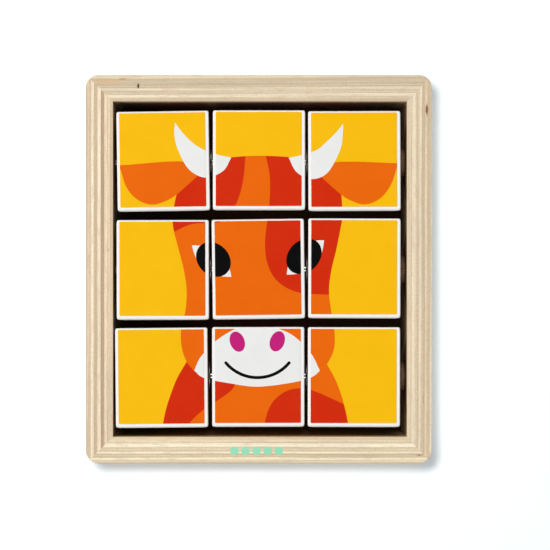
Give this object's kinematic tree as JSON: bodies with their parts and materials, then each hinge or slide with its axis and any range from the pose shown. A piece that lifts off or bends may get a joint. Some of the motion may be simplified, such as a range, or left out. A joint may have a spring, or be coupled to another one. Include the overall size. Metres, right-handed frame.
{
  "type": "turning block picture puzzle",
  "caption": "Framed wooden puzzle whose three-sided picture blocks turn on steel rods, so that blocks turned alike show one whole animal picture.",
  "frame": {"origin": "centre of the bottom of the object's box, on the back of the frame that it rests on", "axes": "+X along the rods to the picture's right, +Y to the picture's top, +Z out of the front"},
  "size_m": [0.187, 0.21, 0.052],
  "materials": {
    "frame_plywood": "clear-varnished birch plywood, ply edges showing on the front",
    "panel_hardboard": "brown hardboard",
    "screw_steel": "zinc plated",
    "rod_steel": "bright drawn rod",
    "washer_steel": "stamped, dull zinc",
    "spacer_wood": "turned, unpainted",
    "block_white_paint": "white satin paint over wood",
    "cow_sheet": "printed picture sheet, satin ink, cow on yellow",
    "pig_sheet": "printed picture sheet, satin ink, pig on blue",
    "chick_sheet": "printed picture sheet, satin ink, chick on green"
  },
  "bodies": {
    "frame": {"frame_bar_top": "frame_plywood", "frame_bar_bottom": "frame_plywood", "frame_bar_left": "frame_plywood", "frame_bar_right": "frame_plywood", "back_panel": "panel_hardboard", "panel_screw_1": "screw_steel", "panel_screw_2": "screw_steel", "panel_screw_3": "screw_steel", "panel_screw_4": "screw_steel", "panel_screw_5": "screw_steel", "panel_screw_6": "screw_steel", "rod_top": "rod_steel", "washer_top_left": "washer_steel", "washer_top_right": "washer_steel", "end_spacer_top": "spacer_wood", "rod_middle": "rod_steel", "washer_middle_left": "washer_steel", "washer_middle_right": "washer_steel", "end_spacer_middle": "spacer_wood", "rod_bottom": "rod_steel", "washer_bottom_left": "washer_steel", "washer_bottom_right": "washer_steel", "end_spacer_bottom": "spacer_wood"},
    "block_top_left": {"block_top_left": "block_white_paint", "cow_sheet_top_left": "cow_sheet", "pig_sheet_top_left": "pig_sheet", "chick_sheet_top_left": "chick_sheet"},
    "block_top_centre": {"block_top_centre": "block_white_paint", "cow_sheet_top_centre": "cow_sheet", "pig_sheet_top_centre": "pig_sheet", "chick_sheet_top_centre": "chick_sheet"},
    "block_top_right": {"block_top_right": "block_white_paint", "cow_sheet_top_right": "cow_sheet", "pig_sheet_top_right": "pig_sheet", "chick_sheet_top_right": "chick_sheet"},
    "block_middle_left": {"block_middle_left": "block_white_paint", "cow_sheet_middle_left": "cow_sheet", "pig_sheet_middle_left": "pig_sheet", "chick_sheet_middle_left": "chick_sheet"},
    "block_middle_centre": {"block_middle_centre": "block_white_paint", "cow_sheet_middle_centre": "cow_sheet", "pig_sheet_middle_centre": "pig_sheet", "chick_sheet_middle_centre": "chick_sheet"},
    "block_middle_right": {"block_middle_right": "block_white_paint", "cow_sheet_middle_right": "cow_sheet", "pig_sheet_middle_right": "pig_sheet", "chick_sheet_middle_right": "chick_sheet"},
    "block_bottom_left": {"block_bottom_left": "block_white_paint", "cow_sheet_bottom_left": "cow_sheet", "pig_sheet_bottom_left": "pig_sheet", "chick_sheet_bottom_left": "chick_sheet"},
    "block_bottom_centre": {"block_bottom_centre": "block_white_paint", "cow_sheet_bottom_centre": "cow_sheet", "pig_sheet_bottom_centre": "pig_sheet", "chick_sheet_bottom_centre": "chick_sheet"},
    "block_bottom_right": {"block_bottom_right": "block_white_paint", "cow_sheet_bottom_right": "cow_sheet", "pig_sheet_bottom_right": "pig_sheet", "chick_sheet_bottom_right": "chick_sheet"}
  },
  "joints": [
    {"name": "turn_top_left", "type": "hinge", "parent": "frame", "child": "block_top_left", "pos_m": [0, 0.0584, 0.03576], "axis": [1, 0, 0], "continuous": true},
    {"name": "turn_top_centre", "type": "hinge", "parent": "frame", "child": "block_top_centre", "pos_m": [0, 0.0589, 0.03576], "axis": [1, 0, 0], "continuous": true},
    {"name": "turn_top_right", "type": "hinge", "parent": "frame", "child": "block_top_right", "pos_m": [0, 0.0585, 0.03576], "axis": [1, 0, 0], "continuous": true},
    {"name": "turn_middle_left", "type": "hinge", "parent": "frame", "child": "block_middle_left", "pos_m": [0, -0.0004, 0.03576], "axis": [1, 0, 0], "continuous": true},
    {"name": "turn_middle_centre", "type": "hinge", "parent": "frame", "child": "block_middle_centre", "pos_m": [0, 0.00005, 0.03576], "axis": [1, 0, 0], "continuous": true},
    {"name": "turn_middle_right", "type": "hinge", "parent": "frame", "child": "block_middle_right", "pos_m": [0, 0.00045, 0.03576], "axis": [1, 0, 0], "continuous": true},
    {"name": "turn_bottom_left", "type": "hinge", "parent": "frame", "child": "block_bottom_left", "pos_m": [0, -0.0587, 0.03576], "axis": [1, 0, 0], "continuous": true},
    {"name": "turn_bottom_centre", "type": "hinge", "parent": "frame", "child": "block_bottom_centre", "pos_m": [0, -0.05825, 0.03576], "axis": [1, 0, 0], "continuous": true},
    {"name": "turn_bottom_right", "type": "hinge", "parent": "frame", "child": "block_bottom_right", "pos_m": [0, -0.05835, 0.03576], "axis": [1, 0, 0], "continuous": true}
  ]
}
